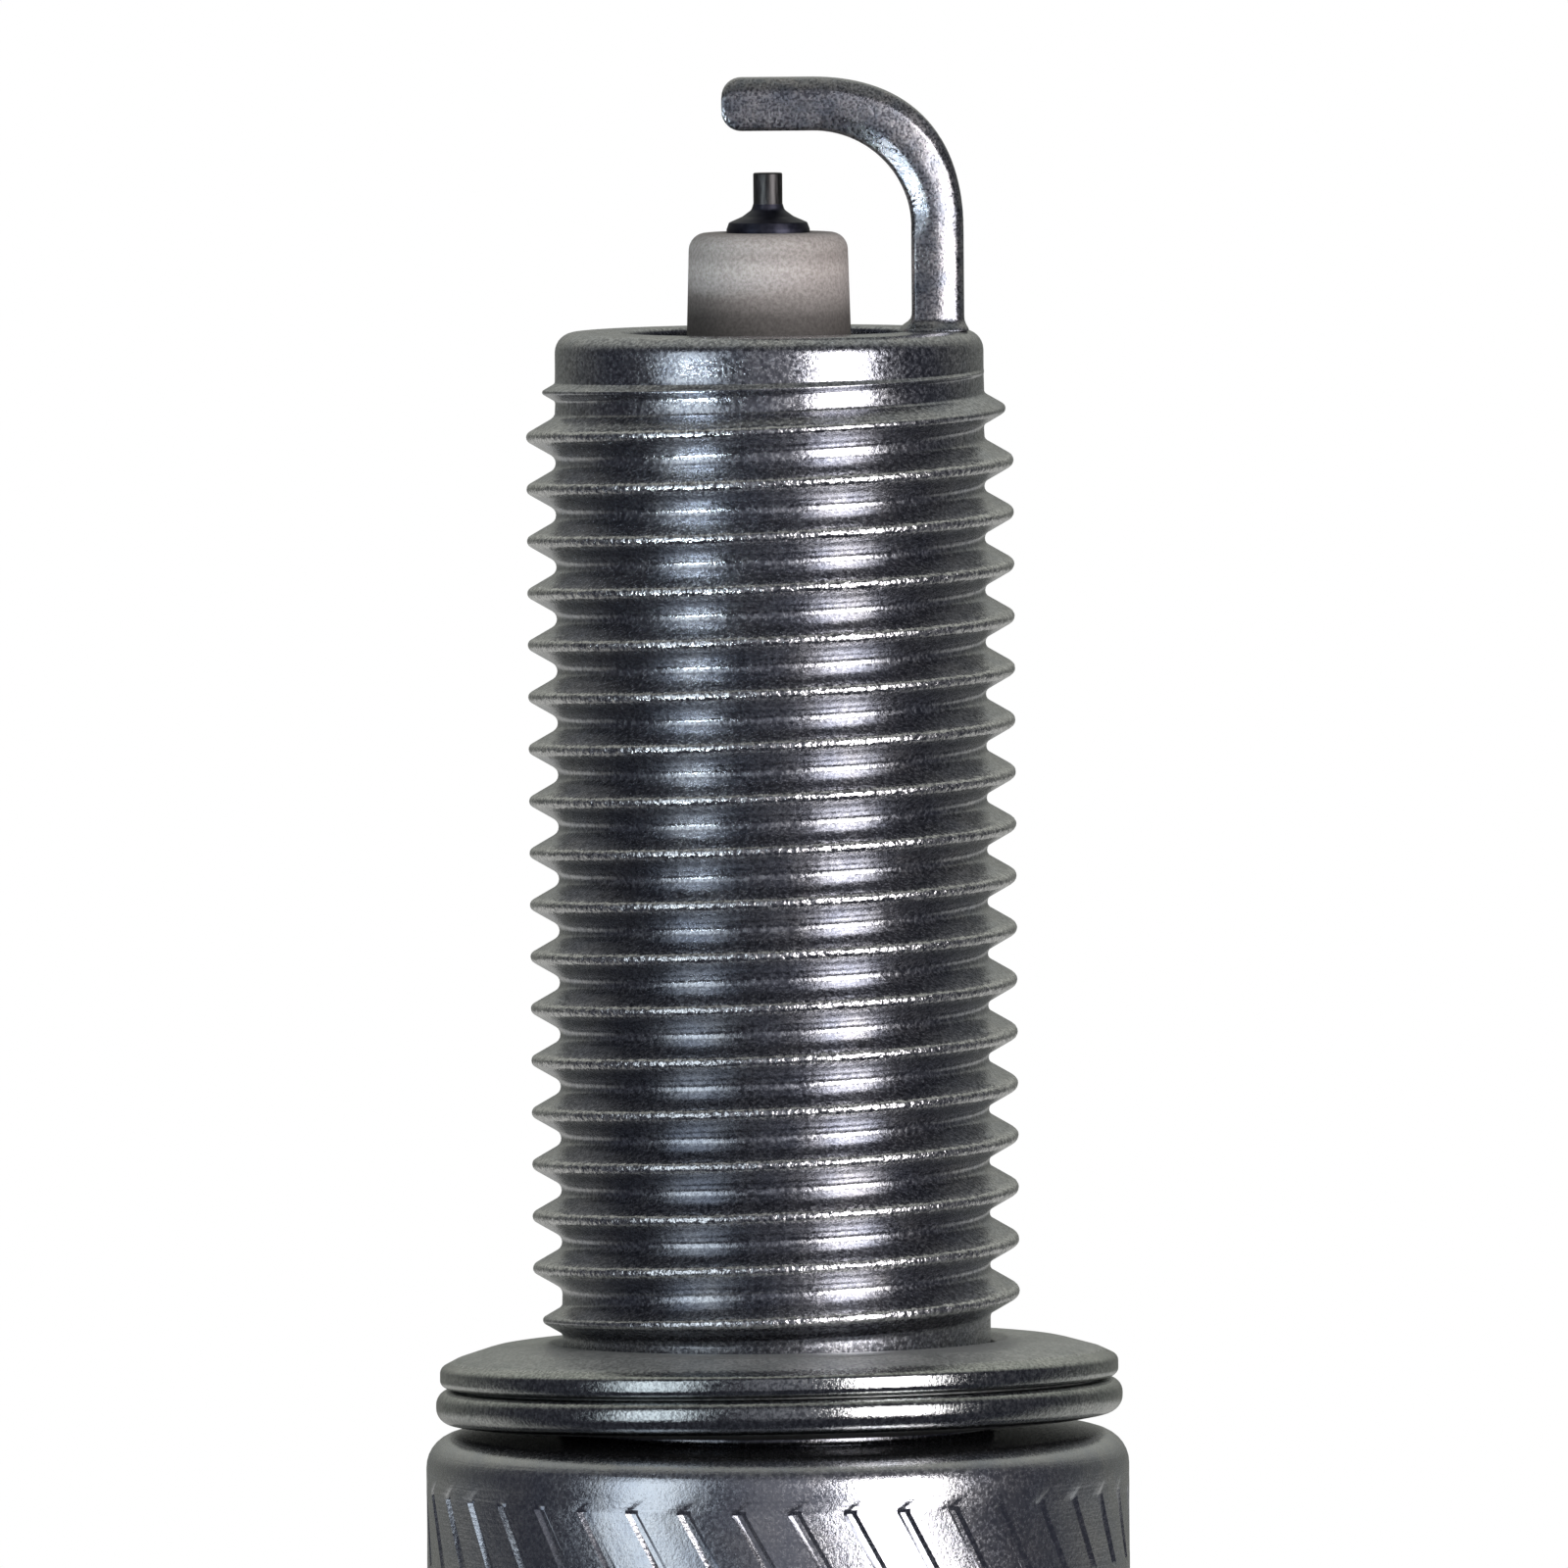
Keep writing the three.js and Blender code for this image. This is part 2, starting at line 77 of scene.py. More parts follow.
SHELL_THREAD = {
    "pitch": 1.25,
    "root": 5.15,
    "crest_radius": 0.16,
    "root_radius": 0.22,
    "first": 2.11,  # height of the crest where the thread starts, at +X
    "turns": 19,
    "fade_in": 0.75,
    "fade_out": 1.5,
    "droop": 0.35,  # how far the thread falls short of its pitch in its last turn
    "wear": 0.012,  # unevenness of the crest
}
STUD_THREAD = {
    "pitch": 0.7,
    "root": 1.58,
    "crest_radius": 0.09,
    "root_radius": 0.13,
    "first": NUT_LOW.z + 1.35,
    "turns": 8,
    "fade_in": 0.5,
    "fade_out": 0.5,
    "droop": 0,
    "wear": 0.004,
}


# ---------------------------------------------------------------- mesh helpers


def mesh_piece(name, points, faces, material, smooth_angle=32):
    """A mesh object from points in millimetres, smooth-shaded below the given edge angle."""
    mesh = bpy.data.meshes.new(name)
    mesh.from_pydata([Vector(p) * MM for p in points], [], faces)
    mesh.validate()
    mesh.materials.append(material)
    piece = bpy.data.objects.new(name, mesh)
    bpy.context.scene.collection.objects.link(piece)
    mesh.shade_smooth()
    mesh.set_sharp_from_angle(angle=math.radians(smooth_angle))
    weighted = piece.modifiers.new("weighted normals", "WEIGHTED_NORMAL")
    weighted.keep_sharp = True
    return piece


def fillet(outline, closed=False):
    """An outline of (radius, height, rounding) points with each corner turned into an arc."""
    made = []
    count = len(outline)
    for i, (x, y, size) in enumerate(outline):
        here = Vector((x, y))
        if size <= 0 or (not closed and i in (0, count - 1)):
            made.append((x, y))
            continue
        before = (Vector(outline[i - 1][:2]) - here).normalized()
        after = (Vector(outline[(i + 1) % count][:2]) - here).normalized()
        half = before.angle(after) / 2
        centre = here + (before + after).normalized() * size / math.sin(half)
        start = here + before * size / math.tan(half) - centre
        end = here + after * size / math.tan(half) - centre
        turn = math.atan2(start.x * end.y - start.y * end.x, start.dot(end))
        steps = max(2, math.ceil(abs(turn) / math.radians(12)))
        for k in range(steps + 1):
            point = centre + Matrix.Rotation(turn * k / steps, 2) @ start
            made.append((point.x, point.y))
    return made


class Skin:
    """Points and faces of a turned surface, grown ring by ring, up its outside first."""

    def __init__(self, around):
        self.around = around
        self.points = []
        self.faces = []
        self.last = None
        self.twist = 0  # turn of the rings' columns about the axis

    def put(self, radius, angle, height):
        self.points.append((radius * math.cos(angle), radius * math.sin(angle), height))
        return len(self.points) - 1

    def angle(self, i):
        return 2 * math.pi * (i % self.around) / self.around + self.twist

    def ring(self, radius, height):
        """Adds a ring. Radius and height are numbers, or functions of the angle."""
        made = []
        for i in range(self.around):
            a = self.angle(i)
            r = radius(a) if callable(radius) else radius
            z = height(a) if callable(height) else height
            made.append(self.put(r, a, z))
        self.join(made)
        return made

    def mark_ring(self, radius, depth, height):
        """A ring whose columns crowd into narrow marks, pressed in by depth."""
        columns = len(MARK_COLUMNS)
        cell = 2 * math.pi * columns / self.around
        made = []
        for i in range(self.around):
            across = MARK_COLUMNS[i % columns]
            sunk = depth if i % columns in (1, 2) else 0
            angle = cell * (i // columns) + across / radius + self.twist
            made.append(self.put(radius - sunk, angle, height))
        self.join(made)

    def join(self, ring):
        if self.last:
            for i in range(self.around):
                k = (i + 1) % self.around
                self.faces.append((self.last[i], self.last[k], ring[k], ring[i]))
        self.last = ring

    def profile(self, outline):
        for radius, height in outline:
            self.ring(radius, height)

    def cap(self, height, top):
        """Closes the last ring with a point on the axis."""
        tip = self.put(0, 0, height)
        for i in range(self.around):
            here, beside = self.last[i], self.last[(i + 1) % self.around]
            self.faces.append((here, beside, tip) if top else (beside, here, tip))

    def wind(self, thread):
        """Winds a right-hand thread on from the last ring, which is plain. The next ring has to
        lie above the thread's closing turn."""
        pitch, root, turns = thread["pitch"], thread["root"], thread["turns"]
        rows = thread_rows(thread)
        crest = max(high for _, high in rows)
        smallest = 0.15  # share of its width that the tooth keeps where it fades out
        lead_out = 0.3  # rise of the root line over the turn that closes the thread's end
        wear_radius, wear_scale = 6, 4  # where the noise of the wear is read, and how fine it is
        last = turns * self.around
        columns = []
        for step in range(last + self.around + 1):
            turn = step / self.around
            left = max(turns - turn, 0)
            size = min(turn / thread["fade_in"], (left / thread["fade_out"]) ** 0.75, 1)
            wide = max(size, smallest)
            rise = pitch * min(turn, turns) + lead_out * max(turn - turns, 0)
            rise -= thread["droop"] * max(1 - left, 0)
            angle = self.angle(step)
            middle = thread["first"] + rise
            column = []
            for along, high in rows if step <= last else rows[:1]:
                z = middle + along * wide
                x, y = wear_radius * math.cos(angle), wear_radius * math.sin(angle)
                place = Vector((x, y, z)) * wear_scale
                worn = thread["wear"] * (high / crest) ** 4 * noise.noise(place)
                column.append(self.put(root + (high + worn) * size, angle, z))
            columns.append(column)

        def at(step, row):
            return columns[step][row] if row < len(rows) else columns[step + self.around][0]

        for step in range(last):
            for row in range(len(rows)):
                self.faces.append(
                    (at(step, row), at(step + 1, row), at(step + 1, row + 1), at(step, row + 1))
                )
        below = self.last
        for i in range(self.around - 1):
            self.faces.append((below[i], below[i + 1], columns[i + 1][0], columns[i][0]))
        seam = [at(0, row) for row in range(len(rows) + 1)]
        self.faces.append((below[-1], below[0], *seam, columns[self.around - 1][0]))
        self.last = [columns[last + i][0] for i in range(self.around)]
        self.tooth_end = [at(last, row) for row in range(len(rows), 0, -1)]

    def ring_over_thread(self, radius, height):
        """The first plain ring above a thread. It also closes the tooth's end."""
        under = self.last
        self.last = None
        ring = self.ring(radius, height)
        self.faces.append((under[0], under[1], ring[1], ring[0], *self.tooth_end))
        for i in range(1, self.around):
            k = (i + 1) % self.around
            right = under[k] if k else self.tooth_end[0]
            self.faces.append((under[i], right, ring[k], ring[i]))


def thread_rows(thread):
    """One pitch of the tooth, root to root, as (height from the crest, height above the root)."""
    pitch, crest, root = thread["pitch"], thread["crest_radius"], thread["root_radius"]
    depth = pitch * math.cos(math.radians(30)) - crest - root
    arc = [math.radians(degrees) for degrees in (0, 20, 40, 60)]
    rise = [(root * math.sin(a), root * (1 - math.cos(a))) for a in arc]
    rows = [(-pitch / 2 + along, high) for along, high in rise]
    for a in [-a for a in reversed(arc[1:])] + arc:
        rows.append((crest * math.sin(a), depth - crest * (1 - math.cos(a))))
    rows += [(pitch / 2 - along, high) for along, high in reversed(rise[1:])]
    return rows


def turned(name, outline, material, around, smooth_angle=32):
    """A piece turned from an outline of (radius, height, rounding) points, going up outside.
    The outline starts and ends on the axis, or closes on itself."""
    skin = Skin(around)
    if outline[0][0] == 0:
        path = fillet(outline)
        skin.ring(*path[1])
        skin.cap(path[0][1], top=False)
        skin.profile(path[2:-1])
        skin.cap(path[-1][1], top=True)
    else:
        path = fillet(outline, closed=True)
        first = skin.ring(*path[0])
        skin.profile(path[1:])
        skin.join(first)
    return mesh_piece(name, skin.points, skin.faces, material, smooth_angle)


def carry(piece, body, slot, *nodes):
    """Says which body the piece moves with and the CAD nodes it stands for. The slot argument is not
    used.
    """
    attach(piece, body)
    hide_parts(*nodes)
    return piece


# ---------------------------------------------------------------- materials


class Shader:
    """A Principled material whose textures run in the part's own frame, in millimetres."""

    def __init__(self, name, metallic=0.0, **values):
        self.material = bpy.data.materials.new(name)
        self.material.use_nodes = True
        self.tree = self.material.node_tree
        self.principled = self.tree.nodes["Principled BSDF"]
        self.principled.inputs["Metallic"].default_value = metallic
        for key, value in values.items():
            self.principled.inputs[key.replace("_", " ")].default_value = value
        self.place = self.tree.nodes.new("ShaderNodeTexCoord").outputs["Object"]

    def node(self, kind, **settings):
        made = self.tree.nodes.new("ShaderNode" + kind)
        for key, value in settings.items():
            setattr(made, key, value)
        return made

    def link(self, source, target):
        self.tree.links.new(source, target)

    def noise(self, scale, detail=3.0, roughness=0.55):
        """Noise with about scale features a millimetre along X, Y and Z."""
        mapping = self.node("Mapping")
        mapping.inputs["Scale"].default_value = [s / MM for s in scale]
        self.link(self.place, mapping.inputs["Vector"])
        noise = self.node("TexNoise")
        noise.inputs["Scale"].default_value = 1
        noise.inputs["Detail"].default_value = detail
        noise.inputs["Roughness"].default_value = roughness
        self.link(mapping.outputs["Vector"], noise.inputs["Vector"])
        return noise.outputs["Fac"]

    def height(self):
        """Height in the part's frame, in millimetres."""
        split = self.node("SeparateXYZ")
        self.link(self.place, split.inputs["Vector"])
        return self.math("MULTIPLY", split.outputs["Z"], 1 / MM)

    def radius(self):
        """Distance from the plug's axis, in millimetres."""
        flat = self.node("VectorMath", operation="MULTIPLY")
        flat.inputs[1].default_value = (1 / MM, 1 / MM, 0)
        self.link(self.place, flat.inputs[0])
        length = self.node("VectorMath", operation="LENGTH")
        self.link(flat.outputs["Vector"], length.inputs[0])
        return length.outputs["Value"]

    def math(self, operation, a, b):
        node = self.node("Math", operation=operation)
        for socket, value in zip(node.inputs, (a, b)):
            if isinstance(value, (int, float)):
                socket.default_value = value
            else:
                self.link(value, socket)
        return node.outputs["Value"]

    def spread(self, value, from_low, from_high, to_low, to_high):
        """Maps a value smoothly from one range to another."""
        node = self.node("MapRange", interpolation_type="SMOOTHSTEP")
        for socket, number in zip(list(node.inputs)[1:5], (from_low, from_high, to_low, to_high)):
            socket.default_value = number
        self.link(value, node.inputs["Value"])
        return node.outputs["Result"]

    def colours(self, value, *stops):
        """A colour ramp of (position, (r, g, b)) stops."""
        ramp = self.node("ValToRGB")
        elements = ramp.color_ramp.elements
        while len(elements) < len(stops):
            elements.new(0.5)
        for element, (position, rgb) in zip(elements, stops):
            element.position = position
            element.color = (*rgb, 1)
        self.link(value, ramp.inputs["Fac"])
        return ramp.outputs["Color"]

    def tint(self, colour, speckle):
        """Multiplies two colours."""
        node = self.node("Mix", data_type="RGBA", blend_type="MULTIPLY")
        node.inputs["Factor"].default_value = 1
        self.link(colour, node.inputs[6])
        self.link(speckle, node.inputs[7])
        return node.outputs[2]

    def mix(self, share, a, b):
        node = self.node("Mix", data_type="RGBA")
        self.link(share, node.inputs["Factor"])
        for socket, value in ((node.inputs[6], a), (node.inputs[7], b)):
            if isinstance(value, tuple):
                socket.default_value = (*value, 1)
            else:
                self.link(value, socket)
        return node.outputs[2]

    def set(self, socket, value):
        self.link(value, self.principled.inputs[socket])

    def bump(self, *layers):
        """Stacks bump layers of (height value, depth in millimetres)."""
        normal = None
        for value, depth in layers:
            node = self.node("Bump")
            node.inputs["Strength"].default_value = 1
            node.inputs["Distance"].default_value = depth * MM
            self.link(value, node.inputs["Height"])
            if normal:
                self.link(normal, node.inputs["Normal"])
            normal = node.outputs["Normal"]
        self.set("Normal", normal)


def plated_steel():
    """Nickel plate over turned and rolled steel: cloudy and speckled, with fine rings. Shade is
    painted on the seat and neck inside the gasket, which are darker; it is less speckled below them,
    dented on the thread's crests, and lighter on the crests, partly from wear and partly as a
    painted highlight."""
    shader = Shader("plated_steel", metallic=1.0)
    clouds = shader.noise((0.9, 0.9, 0.9), detail=4)
    grain = shader.noise((11, 11, 11), detail=3, roughness=0.7)
    rings = shader.noise((0.3, 0.3, 14), detail=2)
    plate = shader.colours(clouds, (0.3, (0.46, 0.48, 0.53)), (0.7, (0.59, 0.59, 0.60)))
    speckle = shader.colours(grain, (0.38, (0.38, 0.38, 0.4)), (0.6, (1.0, 1.0, 1.0)))
    height = shader.height()
    speckle = shader.mix(shader.spread(height, -0.2, 0.3, 0.8, 0), speckle, (1.0, 1.0, 1.0))
    # painted shade: the seat and the neck in the gap under the gasket are darkened
    seat_shade = 0.6
    below_seat = shader.spread(height, -0.04, -0.01, 1, seat_shade)
    above_seat = shader.spread(height, 1, 1.5, seat_shade, 1)
    under = shader.math("MAXIMUM", below_seat, above_seat)
    painted_shade = shader.colours(under, (0, (0, 0, 0)), (1, (1, 1, 1)))
    on_thread = shader.spread(height, 0.5, 1.5, 0, 1)
    crests = shader.math("MULTIPLY", on_thread, shader.spread(shader.radius(), 5.6, 5.85, 0, 1))
    # the crests are lightened: partly rubbed wear, partly a painted highlight
    crest_wear_and_highlight = shader.mix(crests, plate, (0.88, 0.88, 0.88))
    shader.set("Base Color", shader.tint(shader.tint(crest_wear_and_highlight, speckle), painted_shade))
    shader.set("Roughness", shader.spread(grain, 0.3, 0.7, 0.15, 0.30))
    dents = shader.math("MULTIPLY", shader.noise((6, 6, 6), detail=2), crests)
    shader.bump((rings, 0.004), (grain, 0.008), (dents, 0.05))
    return shader.material


def gasket_steel():
    """Sheet steel, dull on its domed top, polished at its rolled edge, with painted shade below."""
    shader = Shader("gasket_steel", metallic=1.0)
    clouds = shader.noise((1.2, 1.2, 1.2), detail=4)
    grain = shader.noise((11, 11, 11), detail=3, roughness=0.7)
    sheet = shader.colours(clouds, (0.3, (0.45, 0.47, 0.465)), (0.7, (0.57, 0.58, 0.57)))
    speckle = shader.colours(grain, (0.38, (0.5, 0.5, 0.51)), (0.6, (1.0, 1.0, 1.0)))
    # painted shade: the gasket's lower part, in the gap over the seat, is darkened
    above = shader.spread(shader.height(), 0.42, 0.62, 0, 1)
    painted_underside_shade = shader.colours(above, (0, (0.35, 0.35, 0.35)), (1, (1, 1, 1)))
    shader.set("Base Color", shader.tint(shader.tint(sheet, speckle), painted_underside_shade))
    radius, dome_end, edge_start = shader.radius(), 7.7, 7.95
    shader.set("Metallic", shader.spread(radius, dome_end, edge_start, 0.85, 1.0))
    dull = shader.spread(radius, dome_end, edge_start, 0.42, 0.15)
    shader.set("Roughness", shader.math("ADD", dull, shader.spread(grain, 0.3, 0.7, -0.05, 0.08)))
    shader.bump((grain, 0.008))
    return shader.material


def ceramic():
    """Alumina: bare at the nose, where shade is painted on it, glazed over the ribs."""
    shader = Shader("alumina_ceramic", IOR=1.6)
    clouds = shader.noise((1.2, 1.2, 1.2), detail=5)
    grain = shader.noise((12, 12, 12), detail=3, roughness=0.7)
    height = shader.height()
    along = shader.spread(height, REACH - 1.0, NOSE_TOP, 0, 1)
    # painted shade: the bare nose's colour changes with height, darkest at its foot
    nose = shader.colours(
        along,
        (0.0, (0.08, 0.072, 0.065)),
        (0.36, (0.11, 0.10, 0.093)),
        (0.62, (0.31, 0.285, 0.27)),
        (0.84, (0.45, 0.41, 0.39)),
        (0.93, (0.33, 0.30, 0.28)),
        (1.0, (0.40, 0.37, 0.35)),
    )
    speckle = shader.colours(grain, (0.36, (0.62, 0.61, 0.60)), (0.62, (1.0, 1.0, 1.0)))
    glazed = shader.colours(clouds, (0.3, (0.80, 0.79, 0.77)), (0.7, (0.87, 0.865, 0.85)))
    bare = shader.spread(height, LIP_BOTTOM, 0, 0, 1)
    shader.set("Base Color", shader.mix(bare, glazed, shader.tint(nose, speckle)))
    shader.set("Roughness", shader.spread(height, LIP_BOTTOM, 0, 0.14, 0.8))
    shader.bump((grain, 0.003))
    return shader.material


def nickel_alloy():
    """Drawn nickel strap: satin and mottled, with lengthwise drawing marks."""
    shader = Shader("nickel_alloy", metallic=1.0)
    clouds = shader.noise((2.2, 2.2, 2.2), detail=4)
    grain = shader.noise((15, 15, 15), detail=3, roughness=0.7)
    bar = shader.colours(clouds, (0.35, (0.28, 0.30, 0.34)), (0.65, (0.47, 0.46, 0.47)))
    speckle = shader.colours(grain, (0.36, (0.4, 0.4, 0.42)), (0.6, (1.0, 1.0, 1.0)))
    shader.set("Base Color", shader.tint(bar, speckle))
    shader.set("Roughness", shader.spread(grain, 0.3, 0.7, 0.2, 0.36))
    shader.bump((clouds, 0.012), (grain, 0.01))
    return shader.material


def dark_nickel():
    """The centre electrode's laser-blackened nickel."""
    shader = Shader("oxidised_nickel", metallic=1.0)
    clouds = shader.noise((3, 3, 3), detail=4)
    oxide = shader.colours(clouds, (0.3, (0.02, 0.022, 0.035)), (0.7, (0.06, 0.06, 0.08)))
    shader.set("Base Color", oxide)
    shader.set("Roughness", shader.spread(clouds, 0.3, 0.7, 0.35, 0.55))
    shader.bump((clouds, 0.006))
    return shader.material


def iridium():
    """Drawn iridium wire, dark grey."""
    shader = Shader("iridium", metallic=1.0)
    streaks = shader.noise((14, 14, 2), detail=3)
    drawn = shader.colours(streaks, (0.3, (0.035, 0.034, 0.034)), (0.7, (0.08, 0.077, 0.077)))
    shader.set("Base Color", drawn)
    shader.set("Roughness", shader.spread(streaks, 0.3, 0.7, 0.35, 0.5))
    shader.bump((streaks, 0.004))
    return shader.material


def plain(name, dark, light, roughness, metallic=0.0):
    """A simple cloudy material for the pieces inside and for the terminal stud."""
    shader = Shader(name, metallic=metallic)
    clouds = shader.noise((3, 3, 3), detail=4)
    uneven = 0.07
    shader.set("Base Color", shader.colours(clouds, (0.3, dark), (0.7, light)))
    shader.set("Roughness", shader.spread(clouds, 0.3, 0.7, roughness - uneven, roughness + uneven))
    shader.bump((clouds, 0.01))
    return shader.material


# ---------------------------------------------------------------- pieces


def hexagon_radius(angle, apothem, corner):
    """Radius of a hexagon with rounded corners, one of them at angle 0."""
    off = abs((angle + math.pi / 6) % (math.pi / 3) - math.pi / 6)
    centre = (apothem - corner) / math.cos(math.pi / 6)
    touch = math.pi / 6 - math.atan((apothem - corner) * math.tan(math.pi / 6) / apothem)
    if off >= touch:
        return apothem / math.cos(math.pi / 6 - off)
    return centre * math.cos(off) + math.sqrt(corner**2 - (centre * math.sin(off)) ** 2)


def make_shell(material):
    """Rolled lip, collar, hexagon, groove, barrel, seat, thread and bore, all one surface."""
    hex_top, hex_bottom, apothem, corner = -10.8, -17.3, 7.0, 0.5
    collar, groove, cavity, body, throat, bore = 6.55, 6.35, 5.45, 4.05, 3.1, 3.5
    ledge_top, ledge_bottom, barrel_bottom, lip = 15.4, 14.4, -8.3, 4.75
    cavity_top = -1.6
    neck = SHELL_THREAD["root"]
    edge_break = 0.06
    chamfer_start, chamfer_slope = apothem + 0.1, 0.5

    def flats(angle):
        return hexagon_radius(angle, apothem, corner)

    def flats_end(angle):
        return min(flats(angle), chamfer_start) - edge_break

    def drop(angle):
        return edge_break + max(0, flats(angle) - chamfer_start) * chamfer_slope

    mark_low, mark_high, mark_depth, mark_slant = -3.0, -1.35, 0.09, 0.11
    mark_step = 0.1  # how far a mark takes to sink in

    skin = Skin(AROUND)
    first = skin.ring(lip, LIP_BOTTOM + 0.12)
    rolled_lip = [(lip + 0.12, LIP_BOTTOM, 0), (collar, LIP_BOTTOM, 1.5), (collar, hex_bottom, 0)]
    skin.profile(fillet(rolled_lip))
    skin.ring(flats_end, hex_bottom)
    skin.ring(flats, lambda a: hex_bottom + drop(a))
    skin.ring(flats, lambda a: hex_top - drop(a))
    skin.ring(flats_end, hex_top)
    skin.profile(
        fillet(
            [
                (groove + 0.3, hex_top, 0),
                (groove, hex_top, 0.25),
                (groove, barrel_bottom - 1, 0.3),
                (BARREL - 0.5, barrel_bottom - 0.45, 0.15),
                (BARREL, barrel_bottom, 0.3),
                (BARREL, mark_low - 0.6, 0),
            ]
        )
    )
    skin.mark_ring(BARREL, 0, mark_low - mark_step)
    skin.mark_ring(BARREL, mark_depth, mark_low)
    skin.twist = -mark_slant
    skin.mark_ring(BARREL, mark_depth, mark_high)
    skin.mark_ring(BARREL, 0, mark_high + mark_step)
    skin.profile(fillet([(BARREL, mark_high + 0.4, 0), (BARREL, 0, 0.8), (neck + 0.6, 0, 0)]))
    skin.twist = 0
    skin.profile(fillet([(neck + 0.3, 0, 0), (neck, 0, 0.15), (neck, 0.8, 0)]))
    skin.wind(SHELL_THREAD)
    skin.ring_over_thread(neck, REACH - 0.52)
    skin.profile(
        fillet(
            [
                (neck, REACH - 0.5, 0),
                (neck - 0.02, REACH, 0.48),
                (bore, REACH, 0.12),
                (bore, ledge_top + bore - throat, 0.1),
                (throat, ledge_top, 0.1),
                (throat, ledge_bottom, 0.1),
                (body, ledge_bottom - (body - throat), 0.2),
                (body, cavity_top, 0.2),
                (cavity, cavity_top - (cavity - body), 0.3),
                (cavity, LIP_BOTTOM + 1.5, 0.4),
                (lip, LIP_BOTTOM + 0.7, 0.2),
                (lip, LIP_BOTTOM + 0.3, 0),
            ]
        )
    )
    skin.join(first)
    piece = mesh_piece("shell_body", skin.points, skin.faces, material)
    return carry(piece, "plug", "nickel_plated_steel", "shell")


def make_gasket(material):
    """Folded sheet steel: a domed top over two rolled lobes, slightly cocked and off centre."""
    outer, crown, lowest = GASKET_HIGH.x, GASKET_HIGH.z, 0.1
    inner = SHELL_THREAD["root"] + 0.07
    flat_radius = 4.6  # where the warp has died out
    outline = [
        (inner, 0.35, 0.1),
        (inner + 0.4, lowest, 0.15),
        (7.6, lowest, 0.2),
        (outer, lowest + 0.06, 0.38),
        (outer, 0.95, 0.38),
        (outer - 0.55, 0.97, 0),
        (outer - 0.55, 0.99, 0),
        (outer - 0.1, 1.02, 0.17),
        (outer - 0.1, 1.47, 0.22),
        (7.75, 1.7, 0.5),
        (6.9, 2.0, 1.5),
        (5.5, crown, 0.3),
        (inner, crown - 0.12, 0.06),
    ]
    path = fillet(outline, closed=True)
    skin = Skin(GASKET_AROUND)
    front_lift, side_lift, shift = 0.36, 0.2, 0.05

    def warped(radius, height):
        """Lifts the ring's front most and its +X side a little, less so towards its bore."""
        share = (radius - flat_radius) / (outer - flat_radius)

        def lifted(a):
            front = front_lift * (0.5 - 0.5 * math.sin(a)) ** 1.6
            side = side_lift * (math.cos(a) * 0.5 + 0.5)
            return height + share * (front + side)

        return lifted

    first = skin.ring(path[0][0], warped(*path[0]))
    for radius, height in path[1:]:
        skin.ring(radius, warped(radius, height))
    skin.join(first)
    points = [(x + shift, y, z) for x, y, z in skin.points]
    piece = mesh_piece("gasket_ring", points, skin.faces, material)
    return carry(piece, "gasket", "gasket_steel", "gasket")


def make_insulator(material):
    """Ceramic: terminal end, ribs, flange in the shell's cavity, body, tapered nose and bore."""
    neck, flange, flange_bottom, flange_top = 4.4, 5.35, -13.6, -3.35
    body, body_top = 3.9, 13.1
    nose_foot, nose_middle, nose_at_face, nose_end = 2.75, 2.35, 1.97, 1.9
    end, bore, electrode_bore, bore_step = 3.55, 2.0, 1.06, 8.5
    rib_pitch, rib_depth, rib_top, ribs = 2.2, 0.45, -23.4, 5
    grooves = []
    for i in reversed(range(ribs)):
        middle = rib_top - i * rib_pitch
        grooves += [
            (neck, middle - 0.8, 0.35),
            (neck - rib_depth, middle - 0.35, 0.3),
            (neck - rib_depth, middle + 0.35, 0.3),
            (neck, middle + 0.8, 0.35),
        ]
    outline = [
        (bore, INSULATOR_LOW.z, 0.15),
        (end, INSULATOR_LOW.z, 0.3),
        (neck - 0.35, rib_top - ribs * rib_pitch - 0.4, 0.5),
        *grooves,
        (neck, flange_bottom - (flange - neck), 0.3),
        (flange, flange_bottom, 0.3),
        (flange, flange_top, 0.3),
        (body, flange_top + (flange - body), 0.3),
        (body, body_top, 0.3),
        (nose_foot, body_top + (body - nose_foot), 0.3),
        (nose_middle, 21.5, 2),
        (nose_at_face, REACH, 2),
        (nose_end, NOSE_TOP, 0.42),
        (electrode_bore, NOSE_TOP, 0.06),
        (electrode_bore, bore_step, 0.1),
        (bore, bore_step - (bore - electrode_bore), 0.1),
    ]
    piece = turned("insulator_ceramic", outline, material, around=128)
    return carry(piece, "plug", "alumina_ceramic", "insulator")


def make_centre_electrode(material):
    """The nickel sheath, with a hollow cone at its end that the fine wire grows out of."""
    weld, low = ELECTRODE_HIGH.z, ELECTRODE_LOW.z
    core, core_top = 0.65, 26.05
    knob, head, head_bottom, head_top, shaft = 1.2, 1.75, 6.9, 7.65, 1.0
    outline = [
        (0, core_top, 0),
        (core, core_top, 0.05),
        (core, low, 0.05),
        (knob, low, 0.1),
        (knob, head_bottom, 0.05),
        (head, head_bottom, 0.15),
        (head, head_top, 0.1),
        (shaft, head_top + head - shaft, 0.1),
        (shaft, NOSE_TOP + 0.08, 0.03),
        (0.94, NOSE_TOP + 0.24, 0.05),
        (0.62, NOSE_TOP + 0.38, 0.08),
        (0.4, NOSE_TOP + 0.54, 0.15),
        (WIRE_HIGH.x + 0.005, weld, 0),
        (0, weld, 0),
    ]
    piece = turned("centre_electrode_sheath", outline, material, around=64, smooth_angle=40)
    return carry(piece, "plug", "oxidised_nickel", "centre_electrode")


